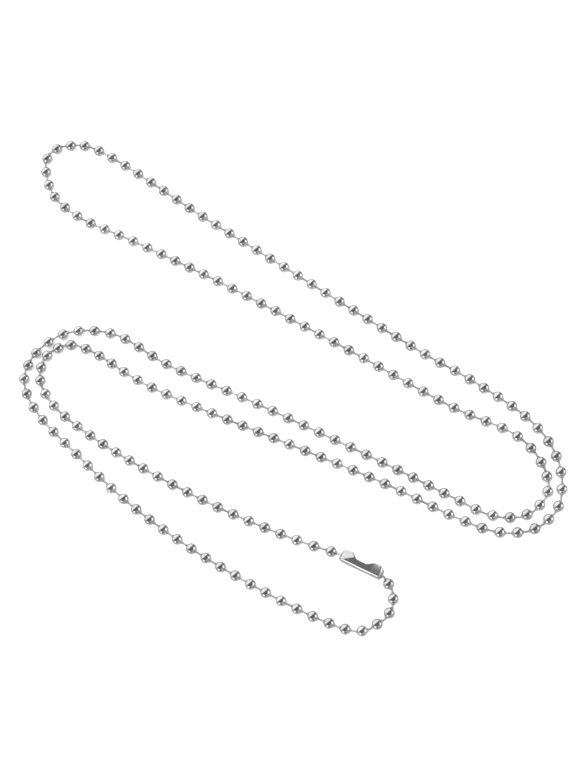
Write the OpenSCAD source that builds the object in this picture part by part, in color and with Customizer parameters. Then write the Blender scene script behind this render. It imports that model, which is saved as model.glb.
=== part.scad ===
// Ball chain necklace, fastened and lying flat in three long lobes.
// Millimetres. X runs along the lobes, Z is up from the surface that the chain lies on.
// Every ball is a hollow shell drilled at both ends, and one wire runs through them all.

/* [Chain] */
// Length of the lobes, from the middle of the ball at one end to the middle of that at the other
lobes_len = 139; // [128:1:170]
// Outer diameter of a ball
ball_d = 2.4; // [2:0.1:2.8]
// Thickness of a ball's sheet metal wall
ball_wall = 0.3; // [0.2:0.05:0.4]
// Wire that shows between two balls when the chain is pulled straight
link_len = 1.3; // [1:0.1:2]
// Thickness of the link wire
wire_d = 0.5; // [0.3:0.05:0.6]
// Clearance round the wire in a ball's hole
hole_gap = 0.13; // [0.1:0.01:0.2]

/* [Clasp] */
// Length of the clasp
clasp_len = 9.6; // [9:0.1:12]
// Thickness of the clasp's sheet metal
sheet_t = 0.25; // [0.2:0.01:0.3]
// Clearance round a ball in its cup
ball_fit = 0.1; // [0.1:0.01:0.2]
// How far the domed cups stand out from the flat sides
dome_rise = 0.25; // [0.15:0.01:0.3]
// How far the round lobes reach past the middle of a ball, on the open side
lobe_reach = 1.1; // [0.9:0.05:1.2]
// Radius of the lobes, seen from above
lobe_r = 1.4; // [1.2:0.05:1.6]
// How far the sides still reach past the middle of a ball, at the narrow waist
waist_reach = 0.2; // [0:0.05:0.4]
// Radius of the fold along the closed side
fold_r = 0.8; // [0.6:0.05:0.9]
// Radius where the sides turn in at the two ends
end_r = 0.5; // [0.4:0.05:0.6]
// How far the slit in each end runs past the middle of a ball, towards the fold
slit_reach = 1.1; // [0.9:0.05:1.2]
// Clearance round the wire in the slit
slit_gap = 0.25; // [0.2:0.05:0.3]

/* [Hidden] */

// Where the clasp lies, and how far it is turned from X, in degrees
clasp_at = [42.8, -14];
clasp_turn = 8;

// The chain's route from the clasp's left end round the three lobes to its right end.
// Each row is a point of the route, x and y, then how far the links are drawn out of their
// balls from there to the next point: 1 is pulled straight, and less is slack.
ROUTE = [
    [28.5, -17.5, 0.98], [10.5, -21, 1], [-8, -23, 0.87], [-22, -23.5, 0.93],
    [-33, -22.5, 0.74], [-39, -19.5, 0.42], [-41, -14.5, 0.41], [-38, -9.5, 0.84],
    [-31, -8, 0.77], [-24.5, -8, 0.96], [-17, -7.5, 0.97], [-2.5, -5, 0.97],
    [15.5, -1.5, 0.99], [37, 2.5, 1], [55.5, 5, 1.01], [62.5, 7, 0.94],
    [68, 11.5, 0.8], [69.5, 18, 0.97], [66, 24.5, 0.85], [60.5, 28.5, 0.95],
    [53.5, 30.5, 0.87], [39, 31, 0.97], [28, 30.5, 1], [-5, 30.5, 1],
    [-31, 30.5, 1], [-57, 31, 0.94], [-64, 30, 0.66], [-69, 26, 0.62],
    [-69.5, 23, 0.75], [-67.5, 20, 0.67], [-62.5, 16.5, 0.97], [-55, 15.5, 0.95],
    [-40.5, 17.5, 0.94], [-19, 20, 1], [14, 22.5, 1], [40, 24, 0.98],
    [54.5, 26, 0.98], [61.5, 24, 0.65], [66, 19.5, 0.69], [65, 13, 0.9],
    [59, 9, 1.01], [52, 8, 0.96], [34, 6, 1.02], [4.5, 2, 1],
    [-17.5, -1.5, 1], [-30, -2, 0.96], [-35.5, -4, 0.88], [-41, -8.5, 0.93],
    [-43.5, -15.5, 0.61], [-42, -21.5, 0.89], [-36, -25.5, 0.98], [-22, -28.5, 0.98],
    [-4, -31, 1.01], [18.5, -31, 0.99], [44, -28, 0.87], [50.5, -25.5, 0.75],
    [53, -19.5, 0.51], [52, -16.5, 0.66], [49.5, -14.5, 0.9],
];
// How far the links beside the clasp's left end are drawn out
clasp_draw = 1.09;
// Points worked out between two points of the route
route_steps = 10;
// Sides of the wire, flats in a rounded corner, and flats round each ball, hole and cup
wire_sides = 6;
corner_flats = 6;
ball_flats = 32;
hole_flats = 24;
cup_flats = 64;
// Most layers of wire that one line of sight goes through
wire_layers = 20;
// How far a cut runs past what it cuts
over = 1;

ball_r = ball_d / 2;
hole_r = wire_d / 2 + hole_gap;

// The clasp: its own frame has the fold at low y, the open side at high y, and z = 0 midway.
cup_in = ball_r + ball_fit;
cup_out = cup_in + sheet_t;
side_out = cup_out - dome_rise;
// The round cups would reach this far past the ends, and are trimmed there and at the lobes
end_cut = 0.1;
cup_trim = 0.03;
end_x = clasp_len / 2;
cup_x = end_x + end_cut - cup_out;
fold_y = -cup_out;
lobe_at = [end_x - lobe_r, lobe_reach - lobe_r];
clasp_mid = cup_out;

// Unit vector of v, and the distance from a to b
function unit(v) = v / norm(v);
function span(a, b) = norm(b - a);

// Longer lobes move the right half of the route and of the clasp away from the left half
route_xs = [for (r = ROUTE) r.x];
half_longer = (lobes_len - max(route_xs) + min(route_xs)) / 2;
function apart(p) = [p.x + sign(p.x) * half_longer, p.y];
clasp_place = apart(clasp_at);

// The route's whole list of points, from one held ball to the other
function turned(v, a) = [v.x * cos(a) - v.y * sin(a), v.x * sin(a) + v.y * cos(a)];
left_end = clasp_place + turned([-cup_x, 0], clasp_turn);
right_end = clasp_place + turned([cup_x, 0], clasp_turn);
points = concat([left_end], [for (r = ROUTE) apart(r)], [right_end]);
draws = concat([clasp_draw], [for (r = ROUTE) r.z]);
last = len(points) - 1;

// A point before the first and after the last, for the slopes at the ends
function point(i) = i < 0 ? 2 * points[0] - points[1]
    : i > last ? 2 * points[last] - points[last - 1]
    : points[i];
// Slope of the curve at b, between a and c, where da and dc are the root of each distance
function slope(a, b, c, da, dc, d) =
    ((c - b) / dc - (c - a) / (da + dc) + (b - a) / da) * d;
// The smooth curve through the points, on stretch i at share s of its way
function on_curve(i, s) =
    let (a = point(i - 1), b = point(i), c = point(i + 1), e = point(i + 2))
    let (d1 = sqrt(span(a, b)), d2 = sqrt(span(b, c)), d3 = sqrt(span(c, e)))
    let (m = slope(a, b, c, d1, d2, d2), n = slope(b, c, e, d2, d3, d2))
    (2 * pow(s, 3) - 3 * pow(s, 2) + 1) * b + (pow(s, 3) - 2 * pow(s, 2) + s) * m
        + (3 * pow(s, 2) - 2 * pow(s, 3)) * c + (pow(s, 3) - pow(s, 2)) * n;
curve = concat(
    [for (i = [0:last - 1]) for (k = [0:route_steps - 1]) on_curve(i, k / route_steps)],
    [points[last]]);

// Distance from ball to ball on each stretch, and the route's length counted in balls
function spacing(draw) = ball_d + link_len * draw;
strides = [for (i = [0:len(curve) - 2])
    span(curve[i], curve[i + 1]) / spacing(draws[floor(i / route_steps)])];
function running(v) = [for (i = 0, s = 0; i <= len(v); s = s + (i < len(v) ? v[i] : 0), i = i + 1) s];
counted = running(strides);
links = round(counted[len(strides)]);
stride = counted[len(strides)] / links;
along_x = [for (i = [0:len(curve) - 1]) [counted[i], curve[i].x]];
along_y = [for (i = [0:len(curve) - 1]) [counted[i], curve[i].y]];
laid = [for (i = [0:links]) [lookup(i * stride, along_x), lookup(i * stride, along_y)]];

// The footprint is centred on the origin. The two held balls lie at the clasp's middle height.
xs = [for (p = laid) p.x];
ys = [for (p = laid) p.y];
middle = [(min(xs) + max(xs)) / 2, (min(ys) + max(ys)) / 2];
centres = [for (i = [0:links])
    [laid[i].x - middle.x, laid[i].y - middle.y, i == 0 || i == links ? clasp_mid : ball_r]];
// Each ball's drilled axis halves the turn between its two links
axes = [for (i = [0:links])
    unit((i < links ? unit(centres[i + 1] - centres[i]) : [0, 0, 0])
        + (i > 0 ? unit(centres[i] - centres[i - 1]) : [0, 0, 0]))];

// The wire's path goes in and out of each ball at its holes
wire_path = concat(
    [centres[0], centres[0] + ball_r * axes[0]],
    [for (i = [1:links - 1]) for (side = [-1, 1]) centres[i] + side * ball_r * axes[i]],
    [centres[links] - ball_r * axes[links], centres[links]]);
wire_last = len(wire_path) - 1;
function wire_dir(i) = unit(
    (i < wire_last ? unit(wire_path[i + 1] - wire_path[i]) : [0, 0, 0])
    + (i > 0 ? unit(wire_path[i] - wire_path[i - 1]) : [0, 0, 0]));
function wire_ring(i) =
    let (t = wire_dir(i), u = unit(cross([0, 0, 1], t)), v = cross(t, u))
    [for (k = [0:wire_sides - 1])
        wire_path[i] + wire_d / 2 * (cos(k * 360 / wire_sides) * u + sin(k * 360 / wire_sides) * v)];
wire_points = [for (i = [0:wire_last]) each wire_ring(i)];
wire_faces = concat(
    [[for (k = [0:wire_sides - 1]) k]],
    [for (i = [0:wire_last - 1]) for (k = [0:wire_sides - 1])
        let (a = i * wire_sides, next = (k + 1) % wire_sides)
        [a + k, a + wire_sides + k, a + wire_sides + next, a + next]],
    [[for (k = [wire_sides - 1:-1:0]) wire_last * wire_sides + k]]);

// Points of an arc about c, from angle a to angle b
function arc(c, r, a, b, n) =
    [for (k = [0:n]) c + r * [cos(a + (b - a) * k / n), sin(a + (b - a) * k / n)]];

module ball() {
    difference() {
        sphere(r = ball_r, $fn = ball_flats);
        sphere(r = ball_r - ball_wall, $fn = ball_flats);
        cylinder(r = hole_r, h = ball_d + over, center = true, $fn = hole_flats);
    }
}

module balls() {
    color("silver")
        for (i = [0:links])
            translate(centres[i])
                rotate([0, acos(axes[i].z), atan2(axes[i].y, axes[i].x)])
                    ball();
}

module link_wire() {
    color("gray")
        polyhedron(points = wire_points, faces = wire_faces, convexity = wire_layers);
}

// Outline of the clasp seen from above: straight at the fold, with a round lobe at each end of
// the open side, and between them a hollow curve that meets both lobes smoothly
module clasp_plan() {
    rise = waist_reach - lobe_at.y;
    waist_r = (pow(lobe_at.x, 2) + pow(rise, 2) - pow(lobe_r, 2)) / (2 * (lobe_r - rise));
    waist_at = [0, waist_reach + waist_r];
    half_turn = asin(lobe_at.x / (waist_r + lobe_r));
    waist = arc(waist_at, waist_r, 270 + half_turn, 270 - half_turn, 2 * corner_flats);
    polygon(concat(
        [[-end_x - over, lobe_at.y], [-end_x - over, fold_y - over],
            [end_x + over, fold_y - over], [end_x + over, lobe_at.y]],
        arc(lobe_at, lobe_r, 0, 90 + half_turn, 2 * corner_flats),
        [for (k = [1:len(waist) - 2]) waist[k]],
        arc([-lobe_at.x, lobe_at.y], lobe_r, 90 - half_turn, 180, 2 * corner_flats)));
}

// Section across the clasp: y across and z up, folded round at low y and open at high y
module clasp_section(inset) {
    z = side_out - inset;
    r = fold_r - inset;
    polygon(concat(
        [[cup_out + over, -z], [cup_out + over, z]],
        arc([fold_y + fold_r, side_out - fold_r], r, 90, 180, corner_flats),
        arc([fold_y + fold_r, fold_r - side_out], r, 180, 270, corner_flats)));
}

// Side view along the clasp: its sides turn in at both ends
module clasp_side(inset) {
    x = end_x - inset;
    z = side_out - inset;
    r = end_r - inset;
    polygon(concat(
        arc([x - r, z - r], r, 0, 90, corner_flats),
        arc([r - x, z - r], r, 90, 180, corner_flats),
        arc([r - x, r - z], r, 180, 270, corner_flats),
        arc([x - r, r - z], r, 270, 360, corner_flats)));
}

// The folded sides, or the hollow between them when drawn in by the sheet's thickness
module clasp_sides(inset) {
    intersection() {
        rotate([90, 0, 90])
            translate([0, 0, -end_x - over])
                linear_extrude(2 * (end_x + over)) clasp_section(inset);
        translate([0, cup_out + 2 * over, 0])
            rotate([90, 0, 0]) linear_extrude(2 * cup_out + 3 * over) clasp_side(inset);
    }
}

// A round shape in the place of each held ball
module round_at(side, r) {
    translate([side * cup_x, 0, 0]) sphere(r = r, $fn = cup_flats);
}

// The two domed cups, trimmed to the lobes
module cups() {
    for (side = [-1, 1])
        intersection() {
            round_at(side, cup_out);
            translate([side * lobe_at.x, lobe_at.y, 0])
                cylinder(r = lobe_r - cup_trim, h = 2 * cup_out + over, center = true, $fn = cup_flats);
        }
}

// The slit in each end, from the open side inwards
module slits() {
    height = wire_d + 2 * slit_gap;
    for (low_x = [-end_x - over, cup_x])
        translate([low_x, -slit_reach, -height / 2])
            cube([end_x + over - cup_x, slit_reach + cup_out + over, height]);
}

module clasp() {
    color("lightgray")
        translate([clasp_place.x - middle.x, clasp_place.y - middle.y, clasp_mid])
            rotate([0, 0, clasp_turn])
                difference() {
                    union() {
                        intersection() {
                            clasp_sides(0);
                            translate([0, 0, -cup_out - over])
                                linear_extrude(2 * (cup_out + over)) clasp_plan();
                        }
                        cups();
                    }
                    clasp_sides(sheet_t);
                    for (side = [-1, 1]) round_at(side, cup_in);
                    slits();
                }
}

balls();
link_wire();
clasp();
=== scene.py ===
# %% [markdown]
# # Ball chain necklace
# A ball chain is a row of small hollow balls, pressed from sheet metal round short wires that
# have a knob at each end. The two end balls snap into a folded clasp. Here the fastened chain
# lies flat in three long lobes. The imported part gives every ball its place, and this script
# gives the balls, the links and the clasp their finer shapes and their plated metal.

import bpy
import numpy as np
from mathutils import Matrix


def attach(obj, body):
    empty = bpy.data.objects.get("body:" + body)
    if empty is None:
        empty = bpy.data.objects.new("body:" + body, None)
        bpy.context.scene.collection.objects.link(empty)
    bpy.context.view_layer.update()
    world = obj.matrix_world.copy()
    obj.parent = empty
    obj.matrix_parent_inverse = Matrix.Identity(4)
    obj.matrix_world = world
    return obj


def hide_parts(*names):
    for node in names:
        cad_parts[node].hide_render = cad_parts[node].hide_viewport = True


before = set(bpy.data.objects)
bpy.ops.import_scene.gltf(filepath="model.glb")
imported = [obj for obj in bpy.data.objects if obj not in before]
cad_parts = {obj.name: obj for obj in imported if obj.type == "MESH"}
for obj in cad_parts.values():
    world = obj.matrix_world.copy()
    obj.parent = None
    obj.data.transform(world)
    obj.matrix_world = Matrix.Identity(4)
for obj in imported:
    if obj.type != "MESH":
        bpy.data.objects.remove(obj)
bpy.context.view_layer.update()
MM = 0.001
print("nodes:", sorted(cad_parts))

# %% [markdown]
# ## Where the balls are
# The chain's layout isn't typed in again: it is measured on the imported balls. Their mesh is
# loose triangles, so equal corner points are merged first, and each triangle then hands its
# lowest number to its three corners until every ball has one number of its own. The middle of
# a ball is the middle of the box round its points.

# %% Find the balls' middles
# Points that lie closer together than this are one corner
WELD = 0.0002 * MM


def corner_points(node):
    """The points of a node's mesh, a row of x, y and z for each."""
    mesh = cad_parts[node].data
    points = np.empty(len(mesh.vertices) * 3, np.float32)
    mesh.vertices.foreach_get("co", points)
    return points.reshape(-1, 3).astype(float)


def corner_numbers(node):
    """The numbers of the three corner points of each triangle of a node's mesh."""
    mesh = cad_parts[node].data
    numbers = np.empty(len(mesh.loops), np.int32)
    mesh.loops.foreach_get("vertex_index", numbers)
    return numbers.reshape(-1, 3)


def loose_parts(points, triangles):
    """For each point the number of the loose part that it belongs to: the lowest number among
    a triangle's corners spreads to all three, over and over, until nothing changes."""
    merged = np.unique(np.round(points / WELD), axis=0, return_inverse=True)[1].ravel()
    corners = merged[triangles]
    label = np.arange(merged.max() + 1)
    settled = False
    while not settled:
        lowest = np.repeat(label[corners].min(axis=1), 3)
        spread = label.copy()
        np.minimum.at(spread, corners.ravel(), lowest)
        spread = spread[spread]
        settled = np.array_equal(spread, label)
        label = spread
    return np.unique(label[merged], return_inverse=True)[1].ravel()


ball_points = corner_points("balls")
ball_number = loose_parts(ball_points, corner_numbers("balls"))
BALLS = ball_number.max() + 1
ball_low = np.full((BALLS, 3), np.inf)
ball_high = np.full((BALLS, 3), -np.inf)
np.minimum.at(ball_low, ball_number, ball_points)
np.maximum.at(ball_high, ball_number, ball_points)
centres = (ball_low + ball_high) / 2
ball_r = (ball_high - ball_low).max() / 2
print("balls:", BALLS, " ball diameter in mm:", round(2 * ball_r / MM, 3))

# %% [markdown]
# ## Which way each ball points
# A ball is drilled where the wire goes in and out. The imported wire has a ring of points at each
# hole, so the direction in which the wire's points near a ball spread the most is the drilled
# axis. Each hole is then joined to the nearest hole of another ball, and that pair is a link.

# %% Find the drilled axes and the links
# How far out from a ball's middle its own stretch of wire is looked for, in radii, and the
# longest gap between two balls that a link bridges, in diameters
NEAR_BALL = 1.15
LONGEST_GAP = 0.8

wire_points = corner_points("link_wire")
offsets = wire_points[None] - centres[:, None]
near = np.linalg.norm(offsets, axis=2) < NEAR_BALL * ball_r
spreads = np.einsum("bni,bnj,bn->bij", offsets, offsets, near)
axes = np.linalg.eigh(spreads)[1][:, :, 2]

# The wire's radius is how far its points lie from the axis of the ball beside them
along_axis = np.einsum("bni,bi->bn", offsets, axes)
from_axis = np.sqrt(np.maximum((offsets**2).sum(2) - along_axis**2, 0))
wire_r = np.median(from_axis[near])

outwards = np.array([1, -1])[None, :, None] * axes[:, None]
holes = (centres[:, None] + ball_r * outwards).reshape(-1, 3)
gaps = np.linalg.norm(holes[:, None] - holes[None], axis=2)
own_ball = np.arange(2 * BALLS) // 2
gaps[own_ball[:, None] == own_ball[None]] = np.inf
partner = gaps.argmin(axis=1)
joined = gaps.min(axis=1) < LONGEST_GAP * 2 * ball_r
first = np.flatnonzero(joined & (np.arange(2 * BALLS) < partner))
second = partner[first]
print("links:", len(first), " wire diameter in mm:", round(2 * wire_r / MM, 3))

# %% [markdown]
# ## Helpers for meshes
# Every new piece is a grid of points worked out as whole arrays. A grid's faces join each point
# to the next one along the row and to the next row. A row that closes on itself, such as a ring
# round a ball, joins its last point to its first. A UV map is kept with each grid, so that a
# finish can follow the surface.

# %% Helpers for meshes
UP = np.array([0.0, 0.0, 1.0])


def grid_faces(rows, columns, close_rows, close_columns):
    """Corner numbers of the four-sided faces of a grid, and their places on it from 0 to 1."""
    last_row, last_column = rows - (not close_rows), columns - (not close_columns)
    row, column = np.meshgrid(np.arange(last_row), np.arange(last_column), indexing="ij")
    corner_row = np.stack([row, row, row + 1, row + 1], axis=-1).reshape(-1, 4)
    corner_column = np.stack([column, column + 1, column + 1, column], axis=-1).reshape(-1, 4)
    faces = corner_row % rows * columns + corner_column % columns
    return faces, np.stack([corner_column / last_column, corner_row / last_row], axis=-1)


def copies_of(count, points_each, faces, places):
    """The same faces for each copy of a shape, numbered on from copy to copy."""
    steps = np.arange(count)[:, None, None] * points_each
    return (faces[None] + steps).reshape(-1, 4), np.tile(places, (count, 1, 1))


def new_piece(name, points, faces, places, replaced, slot):
    """A smooth mesh piece with a UV map that stands for a CAD node, which it hides. slot is not used.
    """
    mesh = bpy.data.meshes.new(name)
    mesh.from_pydata(points.reshape(-1, 3), [], faces.tolist())
    uv = mesh.uv_layers.new(name="surface")
    uv.data.foreach_set("uv", places.reshape(-1).astype(np.float32))
    mesh.polygons.foreach_set("use_smooth", np.ones(len(mesh.polygons), bool))
    piece = bpy.data.objects.new(name, mesh)
    bpy.context.scene.collection.objects.link(piece)
    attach(piece, "root")
    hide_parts(replaced)
    return piece


def point_value(piece, name, values):
    """Keeps one number for each point of a piece, for its material to read."""
    kept = piece.data.attributes.new(name, "FLOAT", "POINT")
    kept.data.foreach_set("value", values.astype(np.float32))


def unit(vectors):
    """Each vector divided by its length."""
    return vectors / np.linalg.norm(vectors, axis=-1, keepdims=True)


def crosswise(directions, roll):
    """Two unit vectors square to each direction and to each other, turned by roll about it."""
    side = unit(np.cross(UP, directions))
    other = np.cross(directions, side)
    cosine, sine = np.cos(roll)[:, None], np.sin(roll)[:, None]
    return cosine * side + sine * other, cosine * other - sine * side


print("helpers ready")

# %% [markdown]
# ## A ball's outline
# A real ball is a strip of thin sheet, curled round and pressed shut over the knobs of two
# links. Its ends are drawn in to a small lip round each hole. Turning one outline about the
# drilled axis gives all of that. The chain has over two hundred balls, so the outline gets only
# a few corners, and a Subdivision Surface rounds them later. Rounding pulls every corner
# inwards, so the corners are first set out by as much as they will lose.

# %% A ball's outline
SIDES = 12
# The lip's gap round the wire, and how much wider its outer corner is than its inner one
LIP_GAP = 0.06 * MM
LIP_FLARE = 0.08 * MM
# Half a ball's outline, from inside its hole to its middle: two points of the lip, in radii
# along the axis, then three on the ball itself, in degrees from the axis
LIP_ALONG = [0.83, 0.985]
BODY_ANGLES = [27, 56, 90]


def corners_for(outline):
    """Corners that the rounded surface passes through outline for: a rounded corner ends up at
    four parts of itself and one part of each neighbour, and this solves that the other way."""
    size = len(outline)
    pull = 4 * np.eye(size) + np.roll(np.eye(size), 1, axis=0) + np.roll(np.eye(size), -1, axis=0)
    return np.linalg.solve(pull / 6, outline)


body = np.radians(BODY_ANGLES)
half_along = np.append(LIP_ALONG, np.cos(body)) * ball_r
half_out = np.append([wire_r + LIP_GAP, wire_r + LIP_GAP + LIP_FLARE], np.sin(body) * ball_r)
outline = corners_for(np.stack([
    np.append(half_along, -half_along[-2::-1]), np.append(half_out, half_out[-2::-1])], axis=1))
outline_along, outline_out = outline[::-1].T
# A rounded ring of corners is left at this share of its radius
outline_out = outline_out / ((2 + np.cos(2 * np.pi / SIDES)) / 3)

turns = np.arange(SIDES) * 2 * np.pi / SIDES
ball_shape = np.stack([
    np.repeat(outline_along[:, None], SIDES, axis=1),
    outline_out[:, None] * np.cos(turns),
    outline_out[:, None] * np.sin(turns)], axis=-1).reshape(-1, 3)
print("a ball's rings:", len(outline), " corners in a ring:", SIDES)

# %% [markdown]
# ## The balls
# A separate object for each ball would be slow to handle, so all of them are one piece: the
# shape is set on every ball's own axis in one step. Each ball is rolled about its axis by a
# different angle, because their seams never line up, and gets a tone of its own. After the
# rounding, Weighted Normal lets the large faces at a corner decide how it is shaded, so the
# narrow faces at the lips don't bend what the ball mirrors.

# %% The balls
SEED = 2406

chance = np.random.default_rng(SEED)
rolls = chance.uniform(0, 2 * np.pi, BALLS)
ball_frames = np.stack([axes, *crosswise(axes, rolls)], axis=1)
ball_mesh_points = centres[:, None] + np.einsum("pk,bki->bpi", ball_shape, ball_frames)

faces, places = grid_faces(len(outline_out), SIDES, True, True)
chain_balls = new_piece(
    "chain_balls", ball_mesh_points, *copies_of(BALLS, len(ball_shape), faces, places),
    "balls", "ball_metal")
point_value(chain_balls, "tone_and_painted_shade", np.repeat(chance.uniform(0, 1, BALLS), len(ball_shape)))
rounding = chain_balls.modifiers.new("rounding", "SUBSURF")
rounding.levels = rounding.render_levels = 1
shading = chain_balls.modifiers.new("shading by area", "WEIGHTED_NORMAL")
shading.mode = "FACE_AREA"
print("balls:", BALLS, " faces each:", len(faces), " before rounding")

# %% [markdown]
# ## The links
# Each link is a short pin with a knob at both ends. The knobs sit inside two neighbouring balls
# and can't pass their lips, which is what holds the chain together. Slack links sit deeper in
# their balls. One outline turned about each link's own line, from hole to hole, makes them all.
# The outline is closed by a point at each end, so no pin is an open tube.

# %% The links
PIN_SIDES = 10
KNOB_R = 0.42 * MM
KNOB_LEN = 0.5 * MM
NECK_LEN = 0.16 * MM
TIP_LEN = 1.5 * NECK_LEN
# The knob's radius where it begins and before its tip, as shares of its greatest radius
KNOB_BEGIN = 0.85
KNOB_CLOSE = 0.7
# The share of a pin's visible half that is straight wire and needs no more points
PIN_STRAIGHT = 0.9
TIP_MERGE = 0.001 * MM

start, end = holes[first], holes[second]
line = unit(end - start)
half_visible = np.linalg.norm(end - start, axis=1) / 2
# From the middle of a pin to its tip: share of the visible half, length past it, radius
PIN_OUTLINE = np.array([
    [0.0, 0.0, wire_r], [PIN_STRAIGHT, 0.0, wire_r], [1.0, NECK_LEN, wire_r],
    [1.0, 2 * NECK_LEN, KNOB_R * KNOB_BEGIN], [1.0, KNOB_LEN, KNOB_R],
    [1.0, KNOB_LEN + NECK_LEN, KNOB_R * KNOB_CLOSE], [1.0, KNOB_LEN + TIP_LEN, 0.0]])
mirrored = PIN_OUTLINE[:0:-1] * [-1, -1, 1]
pin_outline = np.concatenate([mirrored, PIN_OUTLINE])
pin_along = half_visible[:, None] * pin_outline[:, 0] + pin_outline[:, 1]
pin_turns = np.arange(PIN_SIDES) * 2 * np.pi / PIN_SIDES
pin_side, pin_other = crosswise(line, np.zeros(len(line)))
around = (np.cos(pin_turns)[None, :, None] * pin_side[:, None]
          + np.sin(pin_turns)[None, :, None] * pin_other[:, None])
middles = (start + end) / 2
pin_points = (middles[:, None, None] + pin_along[:, :, None, None] * line[:, None, None]
              + pin_outline[None, :, 2, None, None] * around[:, None])

faces, places = grid_faces(len(pin_outline), PIN_SIDES, False, True)
chain_links = new_piece(
    "chain_links", pin_points, *copies_of(len(line), len(pin_outline) * PIN_SIDES, faces, places),
    "link_wire", "wire_metal")
point_value(chain_links, "tone_and_painted_shade",
            np.repeat(chance.uniform(0, 1, len(line)), len(pin_outline) * PIN_SIDES))
tips = chain_links.modifiers.new("closed tips", "WELD")
tips.merge_threshold = TIP_MERGE
print("links:", len(line), " mean length seen in mm:", round(2 * half_visible.mean() / MM, 2))

# %% [markdown]
# ## The clasp
# The clasp is one strip of thin sheet, folded lengthwise. Its two sides have a round lobe at each
# end of the open edge, which covers an end ball, and a narrow waist between them. The ends turn
# in and leave a slit for the link. It is made as one sheet: a section that runs from one open
# edge round the fold to the other, carried along the clasp. The two balls that it holds lie
# higher than all others, and they tell where the clasp lies and which way it points.

# %% Where the clasp lies
# The middle of a held ball lies more than this many radii above the table
HELD_HEIGHT = 1.1

held = np.flatnonzero(centres[:, 2] > HELD_HEIGHT * ball_r)
held = held[np.argsort(centres[held, 0])]
clasp_at = centres[held].mean(axis=0)
along = unit(centres[held[1]] - centres[held[0]])
across = np.cross(UP, along)
clasp_axes = np.stack([along, across, UP])
seen = (corner_points("clasp") - clasp_at) @ clasp_axes.T
half_len, reach, half_high = seen.max(axis=0)
fold_y = seen[:, 1].min()
cup_x = np.linalg.norm(centres[held[1]] - centres[held[0]]) / 2
print("clasp length, depth and height in mm:",
      [round(v / MM, 2) for v in (2 * half_len, reach - fold_y, 2 * half_high)])

# %% [markdown]
# ## The clasp's outline and its bends
# From above, the open edge is a waist between two round lobes, and a soft step draws each rise.
# Sheet never folds at a sharp corner, it bends round. A circle's quarter would do for that, but
# a pressed corner has a nearly flat part between two tighter bends, and that part shows as one
# even bright stripe. So a bend is added up from short steps whose direction turns evenly, and
# several bends at different rates follow one another.

# %% The clasp's outline and its bends
# The lobes' radius, the power that makes their outer corners squarer, and the waist's reach
LOBE_R = 1.4 * MM
LOBE_CORNER = 4
WAIST_REACH = 0.03 * MM
# Where the open edge starts to rise from the waist and where it has risen, from the middle,
# and how far both rises lie to the left of that
SHOULDER = (1.0 * MM, 2.6 * MM)
SHOULDERS_LEFT = 0.1 * MM
# The bends of a corner: for each, where it ends, in degrees from the side, and its length
FOLD_BENDS = [(40, 0.16 * MM), (50, 0.36 * MM), (90, 0.24 * MM)]
END_BENDS = [(34, 0.14 * MM), (40, 0.34 * MM), (80, 0.33 * MM)]
BEND_POINTS = 6

lobe_x = half_len - LOBE_R
lobe_y = reach - LOBE_R


def smooth_step(value, start_at, end_at):
    """0 up to start_at and 1 from end_at, with a soft S between them."""
    share = np.clip((value - start_at) / (end_at - start_at), 0, 1)
    return share * share * (3 - 2 * share)


def open_edge(x):
    """How far the sides reach at x: a soft step up from the waist to each lobe, and past the
    lobe's middle a circle's quarter, made squarer by a fourth power in place of a second."""
    shoulder = smooth_step(np.abs(x + SHOULDERS_LEFT), *SHOULDER)
    past = np.clip((np.abs(x) - lobe_x) / LOBE_R, 0, 1)
    lobe = lobe_y + LOBE_R * np.sqrt(1 - past**LOBE_CORNER)
    return WAIST_REACH + (lobe - WAIST_REACH) * shoulder


def bent(bends):
    """A line that starts level and bends down: its points as out and down, added up from short
    steps, each of which goes its length times the cosine of its angle out and the sine down."""
    ends = np.radians([0] + [angle for angle, _ in bends])
    share = (np.arange(BEND_POINTS) + 0.5) / BEND_POINTS
    angles = np.concatenate([low + (high - low) * share for low, high in zip(ends, ends[1:])])
    steps = np.repeat([length / BEND_POINTS for _, length in bends], BEND_POINTS)
    return np.cumsum(steps * np.cos(angles)), np.cumsum(steps * np.sin(angles))


fold_out, fold_down = bent(FOLD_BENDS)
end_out, end_down = bent(END_BENDS)
print("fold's size in mm:", round(fold_out[-1] / MM, 2), "by", round(fold_down[-1] / MM, 2))

# %% [markdown]
# ## The clasp's section
# Cut across, the clasp is a flat side, the fold's rounded corner, the fold's wall, and the same
# again below. Modelling each as its own face and joining them would leave corners to mend. One
# line of points for the whole section keeps the sheet smooth and leaves nothing to join. The
# rows lie closer together near the open edge, where the lobes' rims are pressed down later.

# %% The clasp's section
SIDE_Z = 1.3 * MM
# Half the slit's height at the ends, how far the fold is drawn in there, and the share of its
# size that the fold's corner has left
SLIT_HALF = 0.5 * MM
SLIT_BACK = 0.45 * MM
SLIT_CORNER = 0.25
# Rows of points: in the rim, on the rest of the side, and on half the fold's wall, with the
# shares of the side's width at which the rim's rows end and the others begin
RIM_ROWS = 6
FLAT_ROWS = 17
WALL_ROWS = 4
RIM_ENDS = 0.12
FLAT_BEGINS = 0.16


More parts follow.
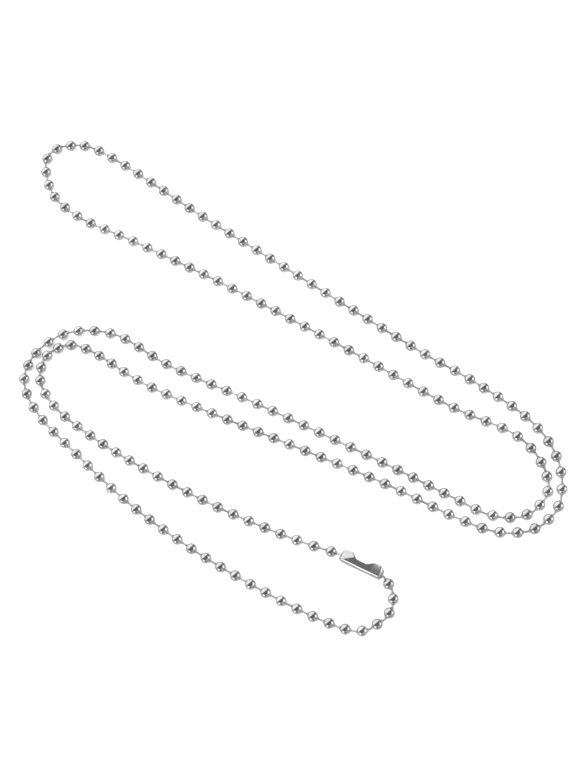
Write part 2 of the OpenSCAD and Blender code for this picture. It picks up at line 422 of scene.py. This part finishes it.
def section(x, inset, flat, wall):
    """The section at each x as y and z: straight from the open edge to the fold, the fold's
    bends and half its wall, all drawn in by inset, then the same mirrored below. flat and wall
    are the shares of the two straight parts at which there are points."""
    share = inset / (SIDE_Z - SLIT_HALF)
    top = (SIDE_Z - inset)[:, None]
    size = (1 - share * (1 - SLIT_CORNER))[:, None]
    back = (fold_y + SLIT_BACK * share)[:, None]
    edge = open_edge(x)[:, None]
    bend_y = back + size * (fold_out[-1] - fold_out)
    bend_z = top - size * fold_down
    flat_y = edge + (back + size * fold_out[-1] - edge) * flat
    wall_z = bend_z[:, -1:] * (1 - wall)
    y = np.concatenate([flat_y, bend_y, back + 0 * wall_z], axis=1)
    z = np.concatenate([top + 0 * flat_y, bend_z, wall_z], axis=1)
    return np.concatenate([y, y[:, -2::-1]], axis=1), np.concatenate([z, -z[:, -2::-1]], axis=1)


flat_shares = np.append(
    np.linspace(0, RIM_ENDS, RIM_ROWS), np.linspace(FLAT_BEGINS, 1, FLAT_ROWS))
wall_shares = np.linspace(0, 1, WALL_ROWS + 1)[1:]
print("rows on a side:", len(flat_shares), " in the fold's corner:", len(fold_out))

# %% [markdown]
# ## The sheet along the clasp
# The section is set at a row of stations. Along the sides only the outline changes from one to
# the next. At each end the stations follow the end's own bends and its wall: each lies a little
# farther out, and its section is drawn in a little more, until only the slit is left open. The
# end walls lean by ten degrees, because pressed sheet springs back a little.

# %% The sheet along the clasp
# Stations along the sides and down each end wall, and the end walls' angle
STATIONS = 100
WALL_STEPS = 3
WALL_TILT = np.radians(80)

# Stations from the middle to one end: along the side, round the bends, then down the end wall
wall_down = np.linspace(end_down[-1], SIDE_Z - SLIT_HALF, WALL_STEPS + 1)[1:]
wall_out = end_out[-1] + (wall_down - end_down[-1]) / np.tan(WALL_TILT)
flat_len = half_len - wall_out[-1]
half_inset = np.concatenate([np.zeros(STATIONS // 2), end_down, wall_down])
half_x = np.concatenate([
    np.linspace(0, flat_len, STATIONS // 2), flat_len + end_out, flat_len + wall_out])
station_x = np.append(-half_x[:0:-1], half_x)
station_inset = np.append(half_inset[:0:-1], half_inset)
sheet_y, sheet_z = section(station_x, station_inset, flat_shares, wall_shares)
sheet_x = np.repeat(station_x[:, None], sheet_y.shape[1], axis=1)
print("stations:", len(station_x), " points in each:", sheet_y.shape[1])

# %% [markdown]
# ## The clasp's hand-formed sides
# Pressing the clasp shut over the end balls leaves its sides less than flat. The left lobe is
# bent down along a crease that runs from the fold's corner to the waist. The body slopes gently
# down to the right, as far as the right lobe, which is bent across. Both lobes have their rim
# pressed down, and the ends are a little round from above. A polished sheet shows such bends
# clearly, because the two sides of a crease mirror different things. Each slope is a plane, and
# the lower of the two planes counts, with the ridge between them rounded off. The bent parts
# are parabolas, which start level and so leave no crease of their own.

# %% The clasp's hand-formed sides
# The crease: the height of its ridge, how softly its planes meet, and a point on it
RIDGE_Z = 1.549 * MM
RIDGE_ROUND = 0.02 * MM
CREASE_AT = (-1.94 * MM, 0.08 * MM)
# How the planes rise to the right and towards the open edge
BODY_SLOPE = (-0.04, 0.1)
LOBE_SLOPE = (0.08, -0.078)
# The body's hollow along its length: its height is this much times the square of the distance
# from the crease, in metres
BODY_HOLLOW = 2.2
# The right lobe: how far it lies below the ridge, its slope to the right, its bend across, the
# line about which it is bent, and where the body turns into it
CUP_DOWN = 0.06 * MM
CUP_SLOPE = 0.056
CUP_BEND = 40.0
CUP_Y = 0.8 * MM
CUP_FROM = (1.2 * MM, 2.8 * MM)
# The lobes' rims, and the step over which the slope of the open edge is measured
RIM_DROP = 0.13 * MM
RIM_WIDTH = 0.25 * MM
SMALL_STEP = 0.01 * MM
# The rounded ends: their radius from above, where they start, the left one's share of the
# right one, and how far left of the middle of its two balls the clasp sits
END_CURVE = 11.0 * MM
END_FROM = 1.0 * MM
LEFT_END_SHARE = 0.8
SHIFT_LEFT = 0.1 * MM


def from_edge(x, y):
    """About how far a point lies from the open edge: the distance in y, divided by the length
    of a step along the edge that goes one unit in x."""
    slope = (open_edge(x + SMALL_STEP) - open_edge(x - SMALL_STEP)) / (2 * SMALL_STEP)
    return (open_edge(x) - y) / np.hypot(1, slope)


def side_height(x, y):
    """The side's height over the middle: the lower of the body's and the left lobe's planes,
    rounded where they meet. The body is a little hollow along its length, its right lobe is
    bent across as a parabola, and both lobes have a rim pressed down, another parabola."""
    right, up = x - CREASE_AT[0], y - CREASE_AT[1]
    body_z = BODY_SLOPE[0] * right + BODY_SLOPE[1] * up
    body_z = body_z + BODY_HOLLOW * np.maximum(right, 0)**2
    cup_z = CUP_SLOPE * (x - cup_x) - CUP_DOWN - CUP_BEND * (y - CUP_Y)**2
    body_z = body_z + (cup_z - body_z) * smooth_step(x, *CUP_FROM)
    lobe_z = LOBE_SLOPE[0] * right + LOBE_SLOPE[1] * up
    height = RIDGE_Z + (body_z + lobe_z - np.hypot(body_z - lobe_z, RIDGE_ROUND)) / 2
    in_rim = np.clip(1 - from_edge(x, y) / RIM_WIDTH, 0, 1)
    return height - RIM_DROP * in_rim**2 * smooth_step(np.abs(x), *SHOULDER)


def end_line(x, y):
    """How far a point moves in from the end: the ends are rounded in plan, as a parabola, and
    the left one less than the right one."""
    near_end = smooth_step(np.abs(x), cup_x, flat_len)
    share = np.where(x > 0, 1, -LEFT_END_SHARE)
    return share * near_end * np.maximum(y + END_FROM, 0)**2 / (2 * END_CURVE)


sheet_z = sheet_z * side_height(sheet_x, sheet_y) / SIDE_Z
sheet_x = sheet_x - end_line(sheet_x, sheet_y) - SHIFT_LEFT
print("side's height at the two balls in mm:",
      [round(side_height(x, 0) / MM, 2) for x in (-cup_x, cup_x)])

# %% [markdown]
# ## The clasp's mesh
# So far the sheet has no thickness. Solidify adds it inwards, so the outer face stays where it
# was worked out. Bevel then rounds the cut edges a little: a real cut edge is never sharp, and
# the bright line along it is what shows that the sheet is thin. The low walls get painted shade:
# their colour is darkened to stand in for the clasp's own shadow on the table, which they would
# mirror. So each point keeps a number for that, which goes from 0 on the walls to 1 on the sides.

# %% The clasp's mesh
SHEET = 0.19 * MM
CUT_ROUND = 0.04 * MM
CUT_ANGLE = np.radians(50)
# The heights between which the walls' painted shade fades out into the sides' full tone
WALL_SHADE_Z = (0.8 * MM, 1.2 * MM)

own = np.stack([sheet_x, sheet_y, sheet_z], axis=-1).reshape(-1, 3)
faces, places = grid_faces(*sheet_x.shape, False, False)
clasp_shell = new_piece("clasp_shell", clasp_at + own @ clasp_axes, faces, places,
                        "clasp", "clasp_metal")
# Painted shade: 0 darkens the low walls for the clasp's shadow that they would mirror, 1 leaves the
# sides
point_value(clasp_shell, "tone_and_painted_shade", smooth_step(np.abs(own[:, 2]), *WALL_SHADE_Z))
thickness = clasp_shell.modifiers.new("sheet", "SOLIDIFY")
thickness.thickness = SHEET
thickness.offset = -1
thickness.use_quality_normals = True
softened = clasp_shell.modifiers.new("cut edges", "BEVEL")
softened.width = CUT_ROUND
softened.segments = 2
softened.limit_method = "ANGLE"
softened.angle_limit = CUT_ANGLE
print("clasp sheet:", sheet_x.shape, "points")

# %% [markdown]
# ## Finishes
# Balls, links and clasp are plated steel: a bright grey metal that mirrors whatever is round it.
# What keeps it from looking like a computer's perfect chrome is small: hairline scratches, a
# faint cloudiness where it is handled, and each ball a shade off the next. A few short helpers
# make nodes, so that each effect below reads as the sum that it is.

# %% Helpers for materials
def new_group(name, inputs, outputs):
    """An empty node group with named number or colour inputs and outputs, and its end nodes."""
    group = bpy.data.node_groups.new(name, "ShaderNodeTree")
    for socket_name, kind, value in inputs:
        socket = group.interface.new_socket(socket_name, in_out="INPUT", socket_type=kind)
        socket.default_value = value
    for socket_name, kind in outputs:
        group.interface.new_socket(socket_name, in_out="OUTPUT", socket_type=kind)
    return group, group.nodes.new("NodeGroupInput").outputs, group.nodes.new("NodeGroupOutput").inputs


def add(tree, kind, links=(), **settings):
    """A node with its settings, and its inputs linked to sockets or set to plain values."""
    node = tree.nodes.new(kind)
    for name, value in settings.items():
        setattr(node, name, value)
    for key, source in dict(links).items():
        if isinstance(source, bpy.types.NodeSocket):
            tree.links.new(source, node.inputs[key])
        else:
            node.inputs[key].default_value = source
    return node


def calculate(tree, operation, first_value, second_value, clamp=False):
    """The output of one Math node."""
    node = add(tree, "ShaderNodeMath", {0: first_value, 1: second_value},
               operation=operation, use_clamp=clamp)
    return node.outputs[0]


print("material helpers ready")

# %% [markdown]
# ## Fine scratches
# A chain rubs on itself and on cloth, which leaves hairline scratches. Drawing each one would
# be endless work. Noise that is squeezed along one direction turns into streaks, and where only
# its highest crests are kept, they are few and thin. All three metals use this node group, each
# with its own values.

# %% Fine scratches
# How much a streak's crest is raised, so that the mask reaches 1
CREST_GAIN = 4.0

scratches, given, result = new_group(
    "fine scratches",
    [("Vector", "NodeSocketVector", (0, 0, 0)), ("Scale", "NodeSocketFloat", 1000.0),
     ("Stretch", "NodeSocketFloat", 12.0), ("Share", "NodeSocketFloat", 0.5)],
    [("Mask", "NodeSocketFloat")])
squeezed = add(scratches, "ShaderNodeVectorMath", {0: given["Vector"], 1: (1, 1, 1)},
               operation="MULTIPLY")
narrow = calculate(scratches, "DIVIDE", 1.0, given["Stretch"])
stretch = add(scratches, "ShaderNodeCombineXYZ", {"X": narrow, "Y": 1.0, "Z": 1.0})
scratches.links.new(stretch.outputs[0], squeezed.inputs[1])
streaks = add(scratches, "ShaderNodeTexNoise",
              {"Vector": squeezed.outputs[0], "Scale": given["Scale"], "Detail": 3.0})
above = calculate(scratches, "SUBTRACT", streaks.outputs["Fac"], given["Share"], clamp=True)
crests = calculate(scratches, "MULTIPLY", above, CREST_GAIN, clamp=True)
scratches.links.new(crests, result["Mask"])
print("inputs of the scratches:", [socket.name for socket in given if socket.name])

# %% [markdown]
# ## Handling
# Where skin touches plating, it goes a little dull, in broad patches without an edge. Plain
# noise does that: its middle grey stays where it is, and everything else is moved away from it
# to give more contrast. This is a node group as well.

# %% Handling
MIDDLE_GREY = 0.5

handling, given, result = new_group(
    "handling clouds",
    [("Vector", "NodeSocketVector", (0, 0, 0)), ("Scale", "NodeSocketFloat", 100.0),
     ("Contrast", "NodeSocketFloat", 2.0)],
    [("Mask", "NodeSocketFloat")])
clouds = add(handling, "ShaderNodeTexNoise",
             {"Vector": given["Vector"], "Scale": given["Scale"], "Detail": 2.0})
centred = calculate(handling, "SUBTRACT", clouds.outputs["Fac"], MIDDLE_GREY)
steeper = calculate(handling, "MULTIPLY", centred, given["Contrast"])
lifted = calculate(handling, "ADD", steeper, MIDDLE_GREY, clamp=True)
handling.links.new(lifted, result["Mask"])
print("groups:", [group.name for group in bpy.data.node_groups])

# %% [markdown]
# ## Marks that follow the surface
# A ball has a seam from hole to hole, where its strip was pressed shut. The clasp has long fine
# lines from the brush that polished the strip before it was folded. A pattern on Object
# coordinates would cut through the metal without regard to either, so both marks read the UV
# map, which follows the surface.

# %% Marks that follow the surface
# Where the seam's soft edge lies, from the middle of the UV map
UV_MIDDLE = 0.5
SEAM_EDGE = (0.488, 0.498)
# How often the noise of the brushed lines repeats across and along the clasp, and the part of
# its range that the lines are made of
LINES_SQUEEZE = (60.0, 4.0, 1.0)
LINES_RANGE = (0.42, 0.62)


def seam(tree):
    """1 along the line from hole to hole where the sheet was pressed shut, which is where the
    UV map starts again, and 0 beside it."""
    place = add(tree, "ShaderNodeUVMap", uv_map="surface").outputs[0]
    round_ball = add(tree, "ShaderNodeSeparateXYZ", {0: place}).outputs["X"]
    turned = calculate(tree, "SUBTRACT", round_ball, UV_MIDDLE)
    from_middle = calculate(tree, "ABSOLUTE", turned, 0.0)
    return add(tree, "ShaderNodeMapRange",
               {"Value": from_middle, "From Min": SEAM_EDGE[0], "From Max": SEAM_EDGE[1]},
               interpolation_type="SMOOTHSTEP").outputs[0]


def brushed_lines(tree):
    """Long fine lines along the clasp, from noise that is squeezed across it."""
    place = add(tree, "ShaderNodeUVMap", uv_map="surface").outputs[0]
    squeezed = add(tree, "ShaderNodeVectorMath", {0: place, 1: LINES_SQUEEZE},
                   operation="MULTIPLY").outputs[0]
    lines = add(tree, "ShaderNodeTexNoise", {"Vector": squeezed, "Scale": 1.0, "Detail": 4.0})
    return add(tree, "ShaderNodeMapRange",
               {"Value": lines.outputs["Fac"], "From Min": LINES_RANGE[0],
                "From Max": LINES_RANGE[1]}).outputs[0]


print("marks ready")

# %% [markdown]
# ## One recipe for plated metal
# The three metals differ only in their values: their light and dull tones, how rough the polish
# is, the size and direction of their scratches, and how deep those are. So one function builds
# them. It starts from the Principled shader's full Metallic, mixes the colour and the roughness
# by the masks, and lets the scratches dent the surface through a Bump node. The number that each
# point of a piece keeps darkens the whole by a share: a tone of their own on balls and links, and
# painted shade on the clasp's walls.

# %% One recipe for plated metal
# The level of noise above which there is a scratch, the clouds' fineness and contrast, how
# much they dull the metal, and how strongly scratches and marks dent it
SCRATCH_SHARE = 0.55
CLOUD_SCALE = 140.0
CLOUD_CONTRAST = 2.5
CLOUD_DULLING = 0.6
DENT_STRENGTH = 0.5


def plated_metal(name, bright, dull, darkest, polish, worn, scratch_scale, stretch, depth,
                 mark=None):
    """A plated metal. bright and dull are its tones, and darkest the share of them where the
    piece's kept number is 0: on the darkest ball or link, or on the clasp's walls, where it is
    painted shade. polish and worn are its lowest and highest roughness, scratch_scale and
    stretch the scratches' fineness and length, depth their dent, and mark the function of its
    own mark, which dulls and dents it too."""
    material = bpy.data.materials.new(name)
    material.use_nodes = True
    tree = material.node_tree
    shader = tree.nodes["Principled BSDF"]
    shader.inputs["Metallic"].default_value = 1.0
    place = add(tree, "ShaderNodeTexCoord").outputs["Object"]
    scratch = add(tree, "ShaderNodeGroup", node_tree=scratches)
    cloud = add(tree, "ShaderNodeGroup", node_tree=handling)
    scratch_values = {"Scale": scratch_scale, "Stretch": stretch, "Share": SCRATCH_SHARE}
    cloud_values = {"Scale": CLOUD_SCALE, "Contrast": CLOUD_CONTRAST}
    for node, values in ((scratch, scratch_values), (cloud, cloud_values)):
        tree.links.new(place, node.inputs["Vector"])
        for key, value in values.items():
            node.inputs[key].default_value = value
    marked = scratch.outputs[0]
    if mark:
        marked = calculate(tree, "MAXIMUM", marked, mark(tree))
    dulled = calculate(tree, "MAXIMUM", marked,
                       calculate(tree, "MULTIPLY", cloud.outputs[0], CLOUD_DULLING))
    # The kept number: a tone of its own on balls and links, painted shade on the clasp's walls
    tone_and_painted_shade = add(tree, "ShaderNodeAttribute", attribute_name="tone_and_painted_shade").outputs["Fac"]
    shade = add(tree, "ShaderNodeMapRange", {"Value": tone_and_painted_shade, "To Min": darkest, "To Max": 1.0})
    tone = add(tree, "ShaderNodeMix", {0: dulled, 6: (*bright, 1), 7: (*dull, 1)}, data_type="RGBA")
    shaded = add(tree, "ShaderNodeMix", {0: 1.0, 6: tone.outputs[2], 7: shade.outputs[0]},
                 data_type="RGBA", blend_type="MULTIPLY")
    rough = add(tree, "ShaderNodeMapRange", {"Value": dulled, "To Min": polish, "To Max": worn})
    dent = add(tree, "ShaderNodeBump",
               {"Height": marked, "Strength": DENT_STRENGTH, "Distance": depth}, invert=True)
    tree.links.new(shaded.outputs[2], shader.inputs["Base Color"])
    tree.links.new(rough.outputs[0], shader.inputs["Roughness"])
    tree.links.new(dent.outputs[0], shader.inputs["Normal"])
    return material


print("recipe ready")

# %% [markdown]
# ## The three platings
# The balls are tumbled until they shine, so they are the smoothest and mirror the studio as a
# clear picture. The links are drawn wire that gets no polish, so they are the roughest, and
# they differ most from one to the next. The clasp lies between the two, with brushed lines.

# %% The three platings
finishes = (
    (chain_balls, plated_metal(
        "ball plating", bright=(0.92, 0.92, 0.93), dull=(0.66, 0.66, 0.67), darkest=0.86,
        polish=0.06, worn=0.15, scratch_scale=2600.0, stretch=3.0, depth=0.006 * MM, mark=seam)),
    (chain_links, plated_metal(
        "link wire plating", bright=(0.96, 0.96, 0.97), dull=(0.84, 0.84, 0.85), darkest=0.62,
        polish=0.32, worn=0.5, scratch_scale=3000.0, stretch=8.0, depth=0.008 * MM)),
    # The clasp's darkest share is the painted shade on its low walls
    (clasp_shell, plated_metal(
        "clasp plating", bright=(0.82, 0.82, 0.83), dull=(0.66, 0.66, 0.67), darkest=0.6,
        polish=0.14, worn=0.22, scratch_scale=2200.0, stretch=14.0, depth=0.0015 * MM,
        mark=brushed_lines)))
for piece, metal in finishes:
    piece.data.materials.append(metal)
print("metals:", [metal.name for metal in bpy.data.materials])

# %% [markdown]
# ## The camera
# The camera looks down on the chain from the photograph's angle, with a long lens from about
# 40 cm away. Its place and its three directions were worked out from where the balls appear in
# the picture. They are written as a matrix, because angles would have to be rounded or read in
# one certain order.

# %% The camera
CAMERA_AT = np.array([112.625, -53.903, 368.147]) * MM
CAMERA_RIGHT = (0.81031758, 0.57044101, -0.13409874)
CAMERA_UP = (-0.51904775, 0.80491593, 0.28757568)
CAMERA_BACK = (0.27198318, -0.16342398, 0.94832366)

camera_data = bpy.data.cameras.new("camera")
camera_data.lens = 85
camera_data.sensor_width = 36
camera_data.clip_start = 0.01
camera_data.clip_end = 20
camera = bpy.data.objects.new("camera", camera_data)
bpy.context.scene.collection.objects.link(camera)
placing = np.eye(4)
placing[:3, :3] = np.array([CAMERA_RIGHT, CAMERA_UP, CAMERA_BACK]).T
placing[:3, 3] = CAMERA_AT
camera.matrix_world = Matrix(placing.tolist())
bpy.context.scene.camera = camera
print("camera height above the table in mm:", CAMERA_AT[2] / MM)

# %% [markdown]
# ## The table
# The necklace lies on a plain white surface, so large that its edge is lost in the white beyond
# it. The metal doesn't mirror this one: a real table is darker far away than under the lamp, and
# that is easier to paint into the surroundings than to light.

# %% The table
FLOOR_HALF = 3.0
TABLE_WHITE = (0.86, 0.86, 0.86, 1)

floor_mesh = bpy.data.meshes.new("table top")
floor_mesh.from_pydata(
    [(x * FLOOR_HALF, y * FLOOR_HALF, 0) for x, y in ((-1, -1), (1, -1), (1, 1), (-1, 1))],
    [], [(0, 1, 2, 3)])
table_top = bpy.data.objects.new("table_top", floor_mesh)
bpy.context.scene.collection.objects.link(table_top)
white = bpy.data.materials.new("white table")
white.use_nodes = True
table_shader = white.node_tree.nodes["Principled BSDF"]
table_shader.inputs["Base Color"].default_value = TABLE_WHITE
table_shader.inputs["Roughness"].default_value = 0.8
floor_mesh.materials.append(white)
table_top.visible_glossy = False
print("table's side in m:", 2 * FLOOR_HALF)

# %% [markdown]
# ## The surroundings
# A polished ball shows the whole studio as a small picture, so the studio decides how the metal
# looks. Real panels and walls would light everything else as well. Painted by direction on the
# world, each part of the studio can be moved or toned alone: it is a round patch with a soft
# edge, laid over the ones before it. Only mirror rays see that picture. All others see an even
# white light from all round, which leaves the shadows as faint as they are in a light tent.

# %% The surroundings
# The level of the even light, and that of the studio where no patch lies
EVEN_LIGHT = 2.4
ROOM = 0.46

world = bpy.data.worlds.new("light tent")
bpy.context.scene.world = world
world.use_nodes = True
sky = world.node_tree
sky.nodes.clear()
direction = add(sky, "ShaderNodeTexCoord").outputs["Generated"]


def patch(colour, towards, inner, outer, level):
    """colour with a round patch of level painted over it: full within inner degrees of the
    direction towards, and fading out at outer degrees."""
    axis = unit(np.array(towards, float))
    facing = add(sky, "ShaderNodeVectorMath", {0: direction, 1: tuple(axis)},
                 operation="DOT_PRODUCT").outputs["Value"]
    share = add(sky, "ShaderNodeMapRange",
                {"Value": facing, "From Min": np.cos(np.radians(outer)),
                 "From Max": np.cos(np.radians(inner))}, interpolation_type="SMOOTHSTEP").outputs[0]
    mixed = add(sky, "ShaderNodeMix", {0: share, 2: colour, 3: level}, data_type="FLOAT")
    return mixed.outputs[0]


def from_camera(right, up, back):
    """A direction given as shares to the right, up and back of the camera."""
    return right * np.array(CAMERA_RIGHT) + up * np.array(CAMERA_UP) + back * np.array(CAMERA_BACK)


# The patches from first to last: the dark room behind the camera, two dark corners of the
# studio, the white sheet behind the chain, the lamps to the right and to the lower left of the
# camera, and the table, first all of it and then the brighter part below
patches = (
    (from_camera(-0.25, 0.31, 0.92), 50, 60, 0.13),
    (from_camera(0.64, 0.71, -0.30), 23, 46, 0.06),
    (from_camera(0.0, -0.97, 0.24), 19, 28, 0.05),
    (from_camera(-0.64, 0.76, -0.12), 59, 62, 1.06),
    (from_camera(0.92, 0.15, 0.37), 15, 25, 1.5),
    (from_camera(-0.53, -0.76, 0.37), 11, 18, 1.9),
    (-UP, 88, 92, 0.42),
    (-UP, 0, 90, 0.72))
surround = ROOM
for towards, inner, outer, level in patches:
    surround = patch(surround, towards, inner, outer, level)
mirrored_only = add(sky, "ShaderNodeLightPath").outputs["Is Glossy Ray"]
shown = add(sky, "ShaderNodeMix", {0: mirrored_only, 2: EVEN_LIGHT, 3: surround}, data_type="FLOAT")
background = add(sky, "ShaderNodeBackground", {"Strength": shown.outputs[0]})
add(sky, "ShaderNodeOutputWorld", {"Surface": background.outputs[0]})
background.inputs["Color"].default_value = (1, 1, 1, 1)
print("patches painted:", len(patches))

# %% [markdown]
# ## The lamp overhead
# The even light alone would leave the chain without a hold on the table. One broad round lamp
# straight above adds the soft shadow where the balls touch it. The metal doesn't mirror the
# lamp, because its painted studio is complete without it. The Standard view leaves white white.

# %% The lamp overhead
LAMP_WIDTH = 0.9
LAMP_HEIGHT = 1
LAMP_POWER = 4.0

lamp_data = bpy.data.lights.new("soft lamp", "AREA")
lamp_data.shape = "DISK"
lamp_data.size = LAMP_WIDTH
lamp_data.energy = LAMP_POWER
lamp = bpy.data.objects.new("soft_lamp", lamp_data)
bpy.context.scene.collection.objects.link(lamp)
lamp.location = (0, 0, LAMP_HEIGHT)
# A lamp shines against its own Z, so its Z points from the middle of the chain to the lamp
lamp.rotation_mode = "QUATERNION"
lamp.rotation_quaternion = lamp.location.to_track_quat("Z", "Y")
lamp.visible_glossy = False
bpy.context.scene.view_settings.view_transform = "Standard"
print("lamp's width and height in m:", LAMP_WIDTH, LAMP_HEIGHT)
